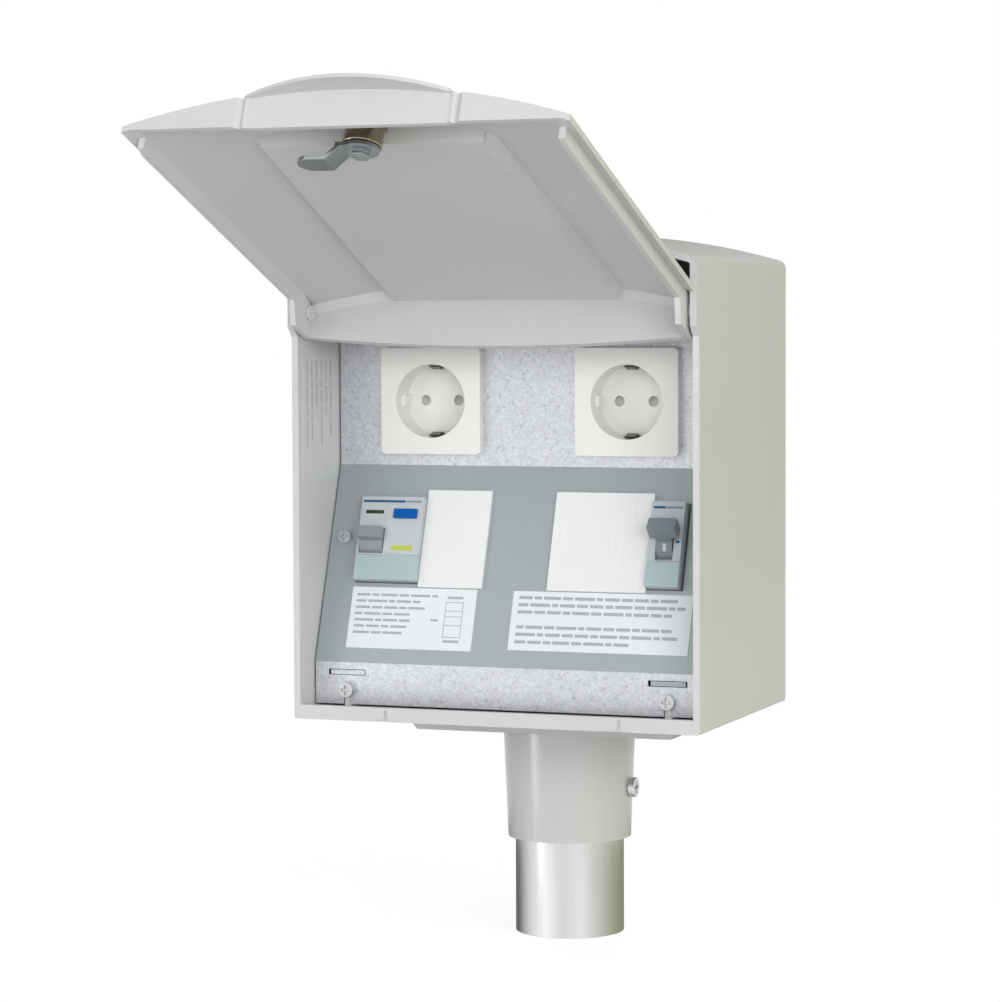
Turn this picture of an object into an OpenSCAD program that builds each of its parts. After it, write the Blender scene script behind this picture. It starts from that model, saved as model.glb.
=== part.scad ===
// Garden socket post: an outdoor outlet box with a lift-up lid, clamped on a round post.
// X is to the right, Y to the back, Z up. The origin is on the post axis at the lower end of the stub.

/* [Housing] */
// Outside width of the housing
box_w = 225; // [217:1:240]
// Height of the side walls
box_h = 242; // [236:1:256]
// Depth from the lower front rim to the back
box_d = 160; // [158:1:185]
// Wall thickness of the housing
wall = 3.5; // [3:0.1:4]
// Rise of the barrel roof over the side walls
roof_rise = 16; // [12:1:20]
// How far the hood stands in front of the lower rim
hood_reach = 5; // [4:0.5:6]
// Height of the rim across the bottom of the opening
rim_h = 7.5; // [5:0.5:8]

/* [Lid] */
// Opening angle shown, from closed
lid_open = 112; // [96:1:114]
// Bulge of the lid across its width
lid_bulge = 17.4; // [14:0.2:19]
// Thickness of the lid skin
skin = 3; // [2.5:0.1:3.4]
// Length of the finger lip below the lid
lip_len = 11.3; // [9:0.1:16]
// Diameter of the hinge pins
pin_d = 5; // [4:0.5:6]
// Diameter of the lock barrel
lock_d = 19; // [17:0.5:20]
// Reach of the lock cam from its axis
cam_reach = 31; // [27:0.5:33]

/* [Chassis] */
// Thickness of the chassis sheet
sheet = 1.5; // [1:0.1:2]
// Height of the fold between the sockets and the slope
fold_z = 133; // [128:1:138]
// Side of a socket face
socket_side = 57; // [54:0.5:60]
// Distance between the sockets
socket_pitch = 110.6; // [104:0.2:114]
// How far a socket face stands out of the chassis
face_proud = 5; // [4:0.2:6]
// Width of one device module
module_w = 18; // [17.5:0.1:18]
// Height of a device nose in the window
nose_h = 46; // [43:0.5:47]
// How far a device nose stands out of the chassis
nose_proud = 6; // [5:0.5:10]

/* [Post] */
// Outside diameter of the post
post_d = 60; // [56:0.5:63]
// Wall of the post tube
post_wall = 3; // [2:0.25:5]
// Distance from the back of the housing to the post axis
post_back = 40; // [36:1:52]
// Length of the post below the collar
stub_len = 53; // [30:1:150]
// Height of the tapered collar
collar_h = 61; // [50:1:80]
// Height of the flange over the collar
flange_h = 13; // [10:0.5:16]

/* [Hidden] */
$fn = 96;
eps = 0.01;
// Clearances: running fit of a pin, loose fit of a screw, seat between fixed pieces
run = 0.05;
loose = 0.25;
seat = 0.1;
// Housing
base_z = stub_len + collar_h + flange_h;
post_y = box_d - post_back;
corner_r = 5;
foot_r = 1.5;
side_z = rim_h + 1;
roof_r = ((box_w / 2) ^ 2 + roof_rise ^ 2) / (2 * roof_rise);
roof_zc = box_h + roof_rise - roof_r;
eave_z = roof_zc + sqrt((roof_r - corner_r) ^ 2 - (box_w / 2 - corner_r) ^ 2);
in_w = box_w / 2 - wall;
hood_z = box_h - 39.6;
pivot = [4, box_h - 27];
// Lid, described closed
lid_gap = 0.8;
lid_w = box_w / 2 - 0.5;
lid_edge = -lid_gap - skin + 0.2;
lid_r = (lid_w ^ 2 + lid_bulge ^ 2) / (2 * lid_bulge);
lid_yc = lid_edge - lid_bulge + lid_r;
lid_top = hood_z - 2.4;
lid_front = lid_yc - lid_r;
skirt_out = in_w - 2;
skirt_in = skirt_out - 3;
centre_w = 56;
centre_y = -8;
step_splay = 1.9;
lid_mid = 2;
end_back = -lid_gap - 1;
lip_out = 1;
lip_t = 1.8;
lip_set = 1.8;
lip_bevel = 4.5;
notch_x = 54;
lip_w = 50;
lip_r = (lip_w ^ 2 + lip_len ^ 2) / (2 * lip_len);
ledge_z = 36;
neck_z = lid_top + 26;
neck_lean = 36;
neck_w = skirt_in + 1;
hinge_wall_z = pivot[1] + 2;
hinge_wall_y = 22;
hinge_wall_lean = 20;
hinge_wall_t = 4;
hinge_wall_r = (skirt_in ^ 2 + 36) / 12;
pin_boss = 1.7;
// Lock
lock_z = 23;
nut_t = 5;
nut_d = lock_d + 6;
plug_d = 12;
cam_t = 2;
cam_y = -0.8;
cam_bend_y = cam_y + 6.7;
// Chassis, front faces of the sheet
fold = [54, fold_z];
lip_fold = [18, 29];
lip_low = 6.5;
chassis_top = box_h - 16;
chassis_w = in_w - 1;
slope_a = atan((fold[0] - lip_fold[0]) / (fold[1] - lip_fold[1]));
fold_in = [sheet, -sheet * tan(slope_a / 2)];
lip_screw = [chassis_w - 18.3, 14.2];
top_screw = [chassis_w - 13, box_h - 24];
rail_x = [-chassis_w + 8.3, chassis_w - 4.6];
rail_s = 41.3;
standoff_d = 8;
boss_d = 9;
pilot_d = 3.4;
screw_d = 4;
// Sockets
socket_z = fold_z + 34.7;
socket_mid = 1.8;
recess_d = 39.5;
recess_h = 17.5;
cup_d = recess_d + 4;
cup_back = recess_h - face_proud + 2.5;
base_d = cup_d + 9;
base_back = cup_back + 19;
pin_gap = 19;
clip_w = 5.5;
tab = 23;
// Devices, measured down the slope from the upper fold
nose_s = 19.6;
nose_mid = nose_s + nose_h / 2;
rcd_x = -chassis_w + 18;
rcd_w = 2 * module_w;
mcb_x = chassis_w - 16 - module_w;
body_h = 85;
body_in = 3;
body_back = 45;
window_h = nose_h + 1;
window_s = nose_mid - window_h / 2;
window_l = [rcd_x - 0.6, -18.5];
window_r = [20.5, mcb_x + module_w + 1.4];
strip_s = [14.5, 68.2];
strip_gap = 0.3;
lever_r = 8.5;
lever_n = nose_proud - 7;
lever_side = 1.6;
// Levers: place down the slope, angle up in the on position, angle down in the off position, length
rcd_lever_at = [43.5, 16, 24, 10];
mcb_lever_at = [nose_mid, 25, 30, 17.5];
field_s = 51.9;
cover_t = 2.1;
button = [13.2, 5.2];
button_s = 29.2;
button_x = rcd_x + 26.3;
button_travel = 1.6;
rail_h = 35;
rail_dep = 7.5;
terminal_n = 30;
wire_d = 3;
// Post, collar and flange
collar_top_d = post_d + 13;
collar_low_d = post_d + 8;
flange_w = 154;
flange_d = 83;
flange_y = post_back - 2 - flange_d / 2;
flange_screw = [58, 31];
flange_screw_d = 5;
entry_d = 42;
clamp_z = -flange_h - 33;
clamp_d = 6;
clamp_seat = collar_top_d / 2 + (collar_low_d - collar_top_d) / 2 * (-flange_h - clamp_z) / collar_h + 0.25;
// Terminal block and the back wall it sits on
block_y = box_d - wall - 16;
tap_y = block_y + 8;
socket_left_x = -socket_pitch / 2 + socket_mid;
socket_right_x = socket_pitch / 2 + socket_mid;
socket_back = fold[0] + base_back - 3.9;

// Point of the box frame at a height across the slope frame, behind the sheet and up the slope
function slope_point(x, y, z) = [
    x,
    fold[0] + y * cos(slope_a) + z * sin(slope_a),
    fold[1] - y * sin(slope_a) + z * cos(slope_a)
];

// Moves from the box frame, at the bottom of the front rim, to the part's frame
module in_box() {
    translate([0, -post_y, base_z]) children();
}

// Turns what is drawn closed to the opening angle of the lid
module on_lid() {
    in_box()
        translate([0, pivot[0], pivot[1]])
            rotate([-lid_open, 0, 0])
                translate([0, -pivot[0], -pivot[1]])
                    children();
}

// Frame of the lock on the closed lid, on its axis
module at_lock() {
    on_lid() translate([lid_mid, 0, lock_z]) children();
}

// Frame of the sloped sheet: Z up the slope from the upper fold, Y behind its front face
module on_slope() {
    in_box() translate([0, fold[0], fold[1]]) rotate([-slope_a, 0, 0]) children();
}

// Extrudes an outline drawn in X and Z
module along_y(y0, y1) {
    translate([0, y1, 0]) rotate([90, 0, 0]) linear_extrude(y1 - y0) children();
}

// Extrudes an outline drawn in Y and Z
module along_x(x0, x1) {
    translate([x0, 0, 0]) rotate([90, 0, 90]) linear_extrude(x1 - x0) children();
}

// Extrudes an outline drawn in X and Y
module along_z(z0, z1) {
    translate([0, 0, z0]) linear_extrude(z1 - z0) children();
}

// A cylinder along Y
module rod_y(x, z, d, y0, y1) {
    translate([x, y1, z]) rotate([90, 0, 0]) cylinder(d = d, h = y1 - y0);
}

// A cylinder along X
module rod_x(y, z, d, x0, x1) {
    translate([x0, y, z]) rotate([0, 90, 0]) cylinder(d = d, h = x1 - x0);
}

// A box given by its lowest and highest corners
module block(low, high) {
    translate(low) cube(high - low);
}

// A rectangle with round corners, about its centre
module round_rect(w, h, r) {
    square([w - 2 * r, h], center = true);
    square([w, h - 2 * r], center = true);
    for (x = [-1, 1], z = [-1, 1])
        translate([x * (w / 2 - r), z * (h / 2 - r)]) circle(r);
}

// A pan-head screw along Y: head in front of its seat, shank behind it
module pan_screw(x, z, seat_y, d, head_d, head_h, len) {
    difference() {
        rod_y(x, z, head_d, seat_y - head_h, seat_y);
        for (turn = [0, 90])
            translate([x, seat_y - head_h, z])
                rotate([0, turn, 0])
                    cube([head_d * 0.62, head_h, head_d * 0.14], center = true);
    }
    rod_y(x, z, d, seat_y, seat_y + len);
}

// A wire of round section through a list of points
module wire(points, d) {
    for (i = [0 : len(points) - 2]) {
        span = points[i + 1] - points[i];
        translate(points[i])
            rotate([0, acos(span[2] / norm(span)), atan2(span[1], span[0])])
                cylinder(d = d, h = norm(span), $fn = 24);
    }
    for (i = [1 : len(points) - 2])
        translate(points[i]) sphere(d = 1.04 * d, $fn = 24);
}

// Cross-section of the housing, drawn in on every side by the inset
module box_section(inset) {
    half = box_w / 2 - inset;
    r = max(corner_r - inset, 1);
    foot = max(foot_r - inset, 1);
    vault = roof_r - inset;
    x_corner = half - r;
    z_corner = roof_zc + sqrt((vault - r) ^ 2 - x_corner ^ 2);
    x_vault = x_corner * vault / (vault - r);
    translate([-half, inset + foot]) square([2 * half, z_corner - inset - foot]);
    translate([foot - half, inset]) square([2 * (half - foot), 2 * foot]);
    intersection() {
        translate([0, roof_zc]) circle(vault, $fn = 360);
        translate([-x_vault, box_h / 2]) square([2 * x_vault, box_h]);
    }
    for (side = [-1, 1]) {
        translate([side * (half - foot), inset + foot]) circle(foot);
        translate([side * x_corner, z_corner]) circle(r);
    }
}

// Side wall from the floor to the eave, with its share of the hood and the seat of a hinge pin
module housing_side(side) {
    color("gainsboro") in_box() mirror([side < 0 ? 1 : 0, 0, 0]) difference() {
        union() {
            along_x(in_w, box_w / 2) polygon([
                [0, side_z], [box_d - wall, side_z], [box_d - wall, eave_z], [-hood_reach, eave_z],
                [-hood_reach, hood_z + 5.2], [0, hood_z]
            ]);
            rod_x(pivot[0], pivot[1], pin_d + 7, in_w - pin_boss, in_w + wall / 2);
        }
        rod_x(pivot[0], pivot[1], pin_d, in_w - pin_boss - 1, in_w + wall - 1.2);
    }
}

module housing_left() {
    housing_side(-1);
}

module housing_right() {
    housing_side(1);
}

// Barrel roof with its rounded eaves, reaching forward as the hood
module housing_roof() {
    color("gainsboro") in_box() along_y(-hood_reach, box_d - wall) intersection() {
        difference() {
            box_section(0);
            box_section(wall);
        }
        translate([-box_w / 2, eave_z]) square([box_w, box_h]);
    }
}

// Back of the housing with two long bosses for the top screws of the chassis
module housing_back() {
    color("gainsboro") in_box() difference() {
        union() {
            along_y(box_d - wall, box_d) box_section(0);
            for (side = [-1, 1])
                rod_y(side * top_screw[0], top_screw[1], boss_d, fold[0] + sheet, box_d - wall / 2);
        }
        for (side = [-1, 1])
            rod_y(side * top_screw[0], top_screw[1], pilot_d, fold[0], fold[0] + 18);
    }
}

// Floor with the front rim and two bosses for the lip screws of the chassis
module housing_floor() {
    boss_y = lip_fold[0] + sheet;
    color("gainsboro") in_box() difference() {
        union() {
            along_y(0, box_d - wall) intersection() {
                difference() {
                    box_section(0);
                    box_section(wall);
                }
                translate([-box_w / 2, 0]) square([box_w, side_z]);
            }
            block([-in_w - 1, 0, wall / 2], [in_w + 1, wall, rim_h]);
            for (side = [-1, 1]) {
                rod_y(side * lip_screw[0], lip_screw[1], boss_d, boss_y, boss_y + 22);
                block([side * lip_screw[0] - 2, boss_y, wall / 2],
                      [side * lip_screw[0] + 2, boss_y + 22, lip_screw[1]]);
            }
        }
        floor_holes();
    }
}

// Holes of the floor: screw pilots, rim notches, flange screws, cable entry and cam slot
module floor_holes() {
    for (side = [-1, 1]) {
        rod_y(side * lip_screw[0], lip_screw[1], pilot_d, lip_fold[0], lip_fold[0] + 18);
        translate([lid_mid + 2.6 + side * 64.6, 0]) along_y(-1, 1.2) polygon([
            [-9, -1], [-9, 0], [-1, 1.8], [-1, rim_h - 1.5], [1, rim_h - 1.5], [1, -1]
        ]);
        for (back = [-1, 1])
            translate([side * flange_screw[0], post_y + flange_y + back * flange_screw[1], -1])
                cylinder(d = flange_screw_d + 2 * loose, h = wall + 2);
    }
    translate([0, post_y, -1]) cylinder(d = entry_d, h = wall + 2);
    block([lid_mid - cam_reach + 5, wall, -1], [lid_mid + 8.5, wall + 6.5, wall + 1]);
}

// Space under the lid's arch seen from its end, from its front back to a depth
module lid_under(r, half, depth) {
    intersection() {
        translate([0, lid_yc]) circle(r, $fn = 360);
        translate([-half, lid_front - 2]) square([2 * half, depth - lid_front + 2]);
    }
}

// Space inside the lid's arch: upright up to the neck, then leaning back under the roof
module lid_form(r, spare) {
    intersection() {
        along_z(-spare, box_h + roof_rise) lid_under(r, lid_w + spare, 40 + spare);
        translate([0, lid_front, neck_z])
            rotate([-neck_lean, 0, 0])
                translate([0, -lid_front, 0])
                    along_z(-1.2 * box_h, 60) lid_under(r, lid_w + spare, box_h + spare);
    }
}

// Lid: arched skin, end wall with finger lip, sunk centre field, side skirts, hinge wall and neck
module lid() {
    color("lightgray") on_lid() difference() {
        union() {
            lid_skin();
            lid_end();
            lid_centre();
            lid_sides();
            lid_neck();
        }
        for (side = [-1, 1])
            mirror([side < 0 ? 1 : 0, 0, 0]) {
                rod_x(pivot[0], pivot[1], pin_d + 2 * run, skirt_in - 1, skirt_out + 1);
                rod_x(pivot[0], pivot[1], pin_d + 4.2, skirt_in - 2.4, skirt_in);
            }
        rod_y(lid_mid, lock_z, lock_d + 2 * loose, lid_front - 5, 0);
        for (side = [-1, 1])
            translate([lid_mid + side * notch_x, 0, 0]) along_y(lid_front - 5, 5) polygon([
                [-2.6, -1], [-2.6, 0.3], [0, 2.6], [2.6, 0.3], [2.6, -1]
            ]);
    }
}

// Outline of the skin seen from the front: the lid and the neck, without the centre and the set-back end
module lid_outline() {
    difference() {
        union() {
            translate([-lid_w, 0]) square([2 * lid_w, lid_top]);
            intersection() {
                box_section(wall + 1.6);
                translate([-neck_w, lid_top / 2]) square([2 * neck_w, box_h]);
            }
        }
        translate([-centre_w + 4, ledge_z + 2]) square([2 * centre_w - 8, lid_top - ledge_z - 8]);
        translate([lid_mid, 0.05]) polygon([
            [-notch_x, -1], [-notch_x, 0], [lip_bevel - notch_x, lip_set], [notch_x - lip_bevel, lip_set],
            [notch_x, 0], [notch_x, -1]
        ]);
    }
}

module lid_skin() {
    intersection() {
        difference() {
            lid_form(lid_r, 1);
            lid_form(lid_r - skin, 2);
        }
        along_y(lid_front - 2, hinge_wall_y) lid_outline();
    }
}

// Free end: wings of the end wall, its set-back middle, the finger lip and two gussets
module lid_end() {
    low = notch_x - lip_bevel;
    intersection() {
        along_z(-1, lip_set + skin + 1) lid_under(lid_r, lid_w, end_back);
        along_y(lid_front - 2, 0) polygon([
            [-lid_w, 0], [lid_mid - notch_x, 0], [lid_mid - low, lip_set], [lid_mid + low, lip_set],
            [lid_mid + notch_x, 0], [lid_w, 0], [lid_w, skin], [lid_mid + notch_x, skin],
            [lid_mid + low, lip_set + skin], [lid_mid - low, lip_set + skin], [lid_mid - notch_x, skin],
            [-lid_w, skin]
        ]);
    }
    intersection() {
        along_z(-lip_len - 1, lip_set + skin) difference() {
            lid_under(lid_r + lip_out, lip_w + lid_mid, lid_front + lip_len);
            lid_under(lid_r + lip_out - lip_t, lip_w + lid_mid + 1, lid_front + lip_len + 1);
        }
        along_y(lid_front - 2, 0) translate([lid_mid, lip_r - lip_len]) circle(lip_r, $fn = 180);
    }
    for (x = [-36, 17])
        along_x(x - 1, x + 1) polygon([
            [lid_front + 2, 2], [-3, 2], [-3, 5], [lid_front + 5, 22], [lid_front + 2, 22]
        ]);
}

// Centre field, set inward of the wings, with its splayed side steps and a ledge at each end
module lid_centre() {
    root = hinge_wall_z + (hinge_wall_y - centre_y) * tan(hinge_wall_lean);
    long = root + 2.6 - ledge_z;
    wide = centre_w + long * tan(step_splay);
    intersection() {
        union() {
            along_y(centre_y - skin, centre_y) polygon([
                [-centre_w, ledge_z + 1], [centre_w, ledge_z + 1], [wide, ledge_z + long], [-wide, ledge_z + long]
            ]);
            for (side = [-1, 1])
                translate([side * centre_w, 0, ledge_z])
                    rotate([0, side * step_splay, 0])
                        mirror([side < 0 ? 1 : 0, 0, 0])
                            along_z(1, long - 0.5) polygon([
                                [-2, centre_y - skin / 2], [0, centre_y - eps], [5, centre_y - 5],
                                [9, centre_y - 5], [6, centre_y - 8], [3, centre_y - 8]
                            ]);
            for (z = [ledge_z, lid_top - 6])
                along_z(z, z + skin) lid_under(lid_r, centre_w + 0.7, centre_y);
        }
        lid_form(lid_r, 1);
    }
}

// Side skirts that go inside the housing, with the hinge ears
module lid_sides() {
    for (side = [-1, 1])
        mirror([side < 0 ? 1 : 0, 0, 0])
            along_x(skirt_in, skirt_out) polygon([
                [lid_edge, 1], [end_back - 0.3, 1], [end_back - 0.3, rim_h + 2], [3.5, rim_h + 2],
                [5, rim_h + 8], [5, hood_z - 8], [16.5, hood_z - 1], [16.5, pivot[1] + 6],
                [13.5, pivot[1] + 9], [lid_edge + 4, pivot[1] + 9], [lid_edge, hood_z - 2.4]
            ]);
}

// Hinge wall: from the end of the centre field down to the edge over the sockets
module lid_neck() {
    rise = (hinge_wall_y - lid_front) * tan(hinge_wall_lean);
    intersection() {
        along_x(-neck_w, neck_w) polygon([
            [hinge_wall_y, hinge_wall_z], [hinge_wall_y, hinge_wall_z + hinge_wall_t],
            [lid_front, hinge_wall_z + rise + hinge_wall_t], [lid_front, hinge_wall_z + rise]
        ]);
        translate([0, hinge_wall_y - hinge_wall_r, hinge_wall_z - 1])
            cylinder(r = hinge_wall_r, h = rise + 10, $fn = 360);
        lid_form(lid_r, 1);
    }
}

// Two headed pins that carry the lid in the housing walls
module hinge_pins() {
    color("silver") in_box()
        for (side = [-1, 1])
            mirror([side < 0 ? 1 : 0, 0, 0]) {
                rod_x(pivot[0], pivot[1], pin_d, skirt_in - 0.3, in_w + wall - 1.3);
                rod_x(pivot[0], pivot[1], pin_d + 3, skirt_in - 1.8, skirt_in - 0.3);
            }
}

// Lock barrel, put through the lid from outside
module lock_barrel() {
    color("darkkhaki") at_lock() difference() {
        union() {
            rod_y(0, 0, lock_d + 4, lid_front - 2, lid_front);
            rod_y(0, 0, lock_d, lid_front - 1, cam_y - 0.3);
        }
        rod_y(0, 0, plug_d + 2 * run, lid_front - 3, 0);
    }
}

// Hexagon nut that holds the barrel against the inside of the skin
module lock_nut() {
    nut_y = lid_front + skin + 0.35;
    color("tan") at_lock() difference() {
        translate([0, nut_y + nut_t, 0]) rotate([90, 0, 0]) cylinder(d = nut_d, h = nut_t, $fn = 6);
        rod_y(0, 0, lock_d, nut_y - 1, nut_y + nut_t + 1);
    }
}

// Turning plug with its keyway
module lock_plug() {
    color("khaki") at_lock() difference() {
        rod_y(0, 0, plug_d, lid_front - 1.8, cam_y);
        block([-0.8, lid_front - 3, -3.5], [0.8, lid_front + 4, 3.5]);
        rod_y(0, 0, 3.4, cam_y - 8, cam_y + 1);
    }
}

// Cranked cam, drawn pointing left as in the unlocked state
module lock_cam() {
    color("lightsteelblue") at_lock() difference() {
        union() {
            rod_y(0, 0, 17, cam_y, cam_y + cam_t);
            block([-11, cam_y, -6.5], [0, cam_y + cam_t, 6.5]);
            along_z(-6.5, 6.5) polygon([
                [-8.5, cam_y], [-16, cam_bend_y], [-18, cam_bend_y], [-18, cam_bend_y + cam_t],
                [-15, cam_bend_y + cam_t], [-8.5, cam_y + cam_t]
            ]);
            block([-cam_reach + 6.5, cam_bend_y, -6.5], [-16, cam_bend_y + cam_t, 6.5]);
            rod_y(-cam_reach + 6.5, 0, 13, cam_bend_y, cam_bend_y + cam_t);
        }
        rod_y(0, 0, screw_d + 0.4, cam_y - 1, cam_y + cam_t + 1);
    }
}

// Hexagon screw that holds the cam on the plug
module cam_screw() {
    color("silver") at_lock() {
        translate([0, cam_y + cam_t + 3.2, 0]) rotate([90, 0, 0]) cylinder(d = 10, h = 3.2, $fn = 6);
        rod_y(0, 0, 3.4, cam_y - 7, cam_y + cam_t + 0.5);
    }
}

// Bent chassis sheet, upper part: the socket panel
module chassis_panel() {
    color("lightsteelblue") in_box() difference() {
        along_x(-chassis_w, chassis_w) polygon([
            [fold[0], chassis_top], fold, fold + fold_in, [fold[0] + sheet, chassis_top]
        ]);
        for (side = [-1, 1]) {
            at_socket(side) {
                rod_y(0, 0, cup_d + 1, -2, sheet + 1);
                for (x = [-1, 1])
                    rod_y(x * tab, x * tab, 3.9, -2, sheet + 1);
            }
            rod_y(side * top_screw[0], top_screw[1], screw_d + 2 * loose, fold[0] - 2, fold[0] + sheet + 1);
        }
    }
}

// Middle part: the slope with the two device windows
module chassis_slope() {
    color("lightsteelblue") difference() {
        in_box() along_x(-chassis_w, chassis_w)
            polygon([fold, lip_fold, lip_fold + fold_in, fold + fold_in]);
        on_slope() {
            for (span = [window_l, window_r])
                block([span[0], -2, -window_s - window_h], [span[1], sheet + 1, -window_s]);
            for (x = rail_x)
                rod_y(x, -rail_s, screw_d + 2 * loose, -2, sheet + 1);
        }
    }
}

// Lower part: the lip with its slots and open keyholes
module chassis_lip() {
    color("lightsteelblue") in_box() difference() {
        along_x(-chassis_w, chassis_w) polygon([
            lip_fold, [lip_fold[0], lip_low], [lip_fold[0] + sheet, lip_low], lip_fold + fold_in
        ]);
        for (side = [-1, 1])
            translate([side * lip_screw[0], 0, 0]) {
                block([-10.6, 10, 22.1], [10.6, 25, 25.1]);
                rod_y(0, lip_screw[1], screw_d + 2 * loose, 10, 25);
                block([-2.2, 10, 0], [2.2, 25, lip_screw[1]]);
            }
    }
}

// Places a socket piece on the front face of the chassis
module at_socket(side) {
    translate([side * socket_pitch / 2 + socket_mid, fold[0], socket_z]) children();
}

module lip_screws() {
    color("silver") in_box()
        for (side = [-1, 1])
            pan_screw(side * lip_screw[0], lip_screw[1], lip_fold[0], pilot_d, 8.4, 2.8, 17);
}

module top_screws() {
    color("silver") in_box()
        for (side = [-1, 1])
            pan_screw(side * top_screw[0], top_screw[1], fold[0], pilot_d, 8.4, 2.8, 17);
}

// Socket cover: square face with the round recess, its guide ribs and pin holes
module socket_cover() {
    difference() {
        union() {
            along_y(-face_proud, 0) round_rect(socket_side, socket_side, 2.5);
            rod_y(0, 0, cup_d, -face_proud, cup_back);
        }
        difference() {
            rod_y(0, 0, recess_d, -face_proud - 1, cup_back - 2.5);
            for (side = [-1, 1])
                block([side * recess_d / 2 - 2.2, 3, -3], [side * recess_d / 2 + 2.2, cup_back, 3]);
        }
        for (side = [-1, 1]) {
            rod_y(side * pin_gap / 2, 0, 5.6, 0, cup_back + 1);
            block([-clip_w / 2 - 0.4, -1, side * cup_d / 2 - 3.6],
                  [clip_w / 2 + 0.4, cup_back + 1, side * cup_d / 2 + 3.6]);
        }
        difference() {
            along_y(-face_proud + 2, 1) square(socket_side - 4, center = true);
            rod_y(0, 0, cup_d, -face_proud, 2);
        }
    }
}

module socket_left() {
    color("white") in_box() at_socket(-1) socket_cover();
}

module socket_right() {
    color("white") in_box() at_socket(1) socket_cover();
}

// Insulating base behind the sheet, with bores for the contact sleeves
module socket_base() {
    difference() {
        union() {
            along_y(sheet, sheet + 2.5) round_rect(2 * tab + 9, 2 * tab + 9, 3);
            rod_y(0, 0, base_d, sheet, base_back);
        }
        rod_y(0, 0, cup_d + 0.3, 0, cup_back + 0.05);
        for (side = [-1, 1]) {
            rod_y(side * pin_gap / 2, 0, 8, cup_back - 1, base_back - 4);
            rod_y(side * pin_gap / 2, 0, wire_d + 0.4, base_back - 5, base_back + 1);
            block([-clip_w / 2 - 0.4, 0, side * 20.6 - 2.2],
                  [clip_w / 2 + 0.4, cup_back + 8, side * 20.6 + 2.2]);
            rod_y(side * tab, side * tab, 2.9, 0, sheet + 4);
        }
        rod_y(0, 0, wire_d + 0.4, base_back - 4, base_back + 1);
    }
}

module socket_base_left() {
    color("ivory") in_box() at_socket(-1) socket_base();
}

module socket_base_right() {
    color("ivory") in_box() at_socket(1) socket_base();
}

// Sprung earth contacts at the top and bottom of each recess
module earth_clips() {
    color("goldenrod") in_box()
        for (socket = [-1, 1], side = [-1, 1])
            at_socket(socket) mirror([0, 0, side < 0 ? 1 : 0])
                along_x(-clip_w / 2, clip_w / 2) polygon([
                    [0.5, 18.3], [6, 16.8], [10, 18], [cup_back + 7.9, 21], [cup_back + 7.9, 21.8],
                    [9.6, 18.8], [6, 17.7], [0.7, 19.1]
                ]);
}

// Tulip sleeves that take the plug pins
module contact_sleeves() {
    color("goldenrod") in_box()
        for (socket = [-1, 1], side = [-1, 1])
            at_socket(socket) difference() {
                rod_y(side * pin_gap / 2, 0, 7.9, cup_back + 0.2, base_back - 4);
                rod_y(side * pin_gap / 2, 0, 5, cup_back - 1, base_back - 6);
            }
}

module socket_screws() {
    color("silver") in_box()
        for (socket = [-1, 1], x = [-1, 1])
            at_socket(socket) pan_screw(x * tab, x * tab, 0, 2.9, 5.6, 2.2, sheet + 2.4);
}

// Top-hat rail that carries the devices
module din_rail() {
    y0 = body_back + seat;
    z0 = -nose_mid;
    color("gainsboro") on_slope() difference() {
        along_x(-chassis_w + 1, chassis_w - 1) polygon([
            [y0, z0 - rail_h / 2], [y0 + 1, z0 - rail_h / 2], [y0 + 1, z0 - 13.5],
            [y0 + rail_dep, z0 - 13.5], [y0 + rail_dep, z0 + 13.5], [y0 + 1, z0 + 13.5],
            [y0 + 1, z0 + rail_h / 2], [y0, z0 + rail_h / 2], [y0, z0 + 12.5],
            [y0 + rail_dep - 1, z0 + 12.5], [y0 + rail_dep - 1, z0 - 12.5], [y0, z0 - 12.5]
        ]);
        for (x = rail_x)
            rod_y(x, -rail_s, screw_d + 2 * loose, y0 - 1, y0 + rail_dep + 1);
    }
}

// Round standoffs between the sheet and the rail
module rail_standoffs() {
    color("silver") on_slope()
        for (x = rail_x)
            difference() {
                rod_y(x, -rail_s, standoff_d, sheet, body_back + seat + rail_dep - 1);
                rod_y(x, -rail_s, pilot_d, sheet - 1, body_back + rail_dep);
            }
}

module rail_screws() {
    color("silver") on_slope()
        for (x = rail_x)
            pan_screw(x, -rail_s, 0, pilot_d, 7.4, 2.6, 14);
}

module rail_back_screws() {
    back = body_back + seat + rail_dep;
    color("silver") on_slope()
        for (x = rail_x)
            translate([0, 2 * back, 0]) mirror([0, 1, 0])
                pan_screw(x, -rail_s, back, pilot_d, 7.4, 2.6, 12);
}

// Body of a rail device: the nose through the window and the wide part behind the sheet
module device_body(x, w) {
    block([x, -nose_proud, -nose_s - nose_h], [x + w, body_in + 1, -nose_s]);
    block([x, body_in, -nose_mid - body_h / 2], [x + w, body_back, -nose_mid + body_h / 2]);
}

// Wire holes in the lower and upper face of a device
module wire_hole(x, n, top) {
    translate([x, n, -nose_mid + (top ? body_h / 2 - 8 : -body_h / 2 - 1)])
        cylinder(d = wire_d + 0.6, h = 9);
}

// Slot for a lever that turns about X
module lever_slot(x0, x1, lever_at) {
    along_x(x0 - 0.5, x1 + 0.5) translate([-lever_n, -lever_at[0]]) {
        circle(lever_r + 0.5);
        for (turn = [-lever_at[1], lever_at[2]])
            rotate(turn) translate([-lever_at[3] - 3, -4.2]) square([lever_at[3] + 1, 8.4]);
    }
}

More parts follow.
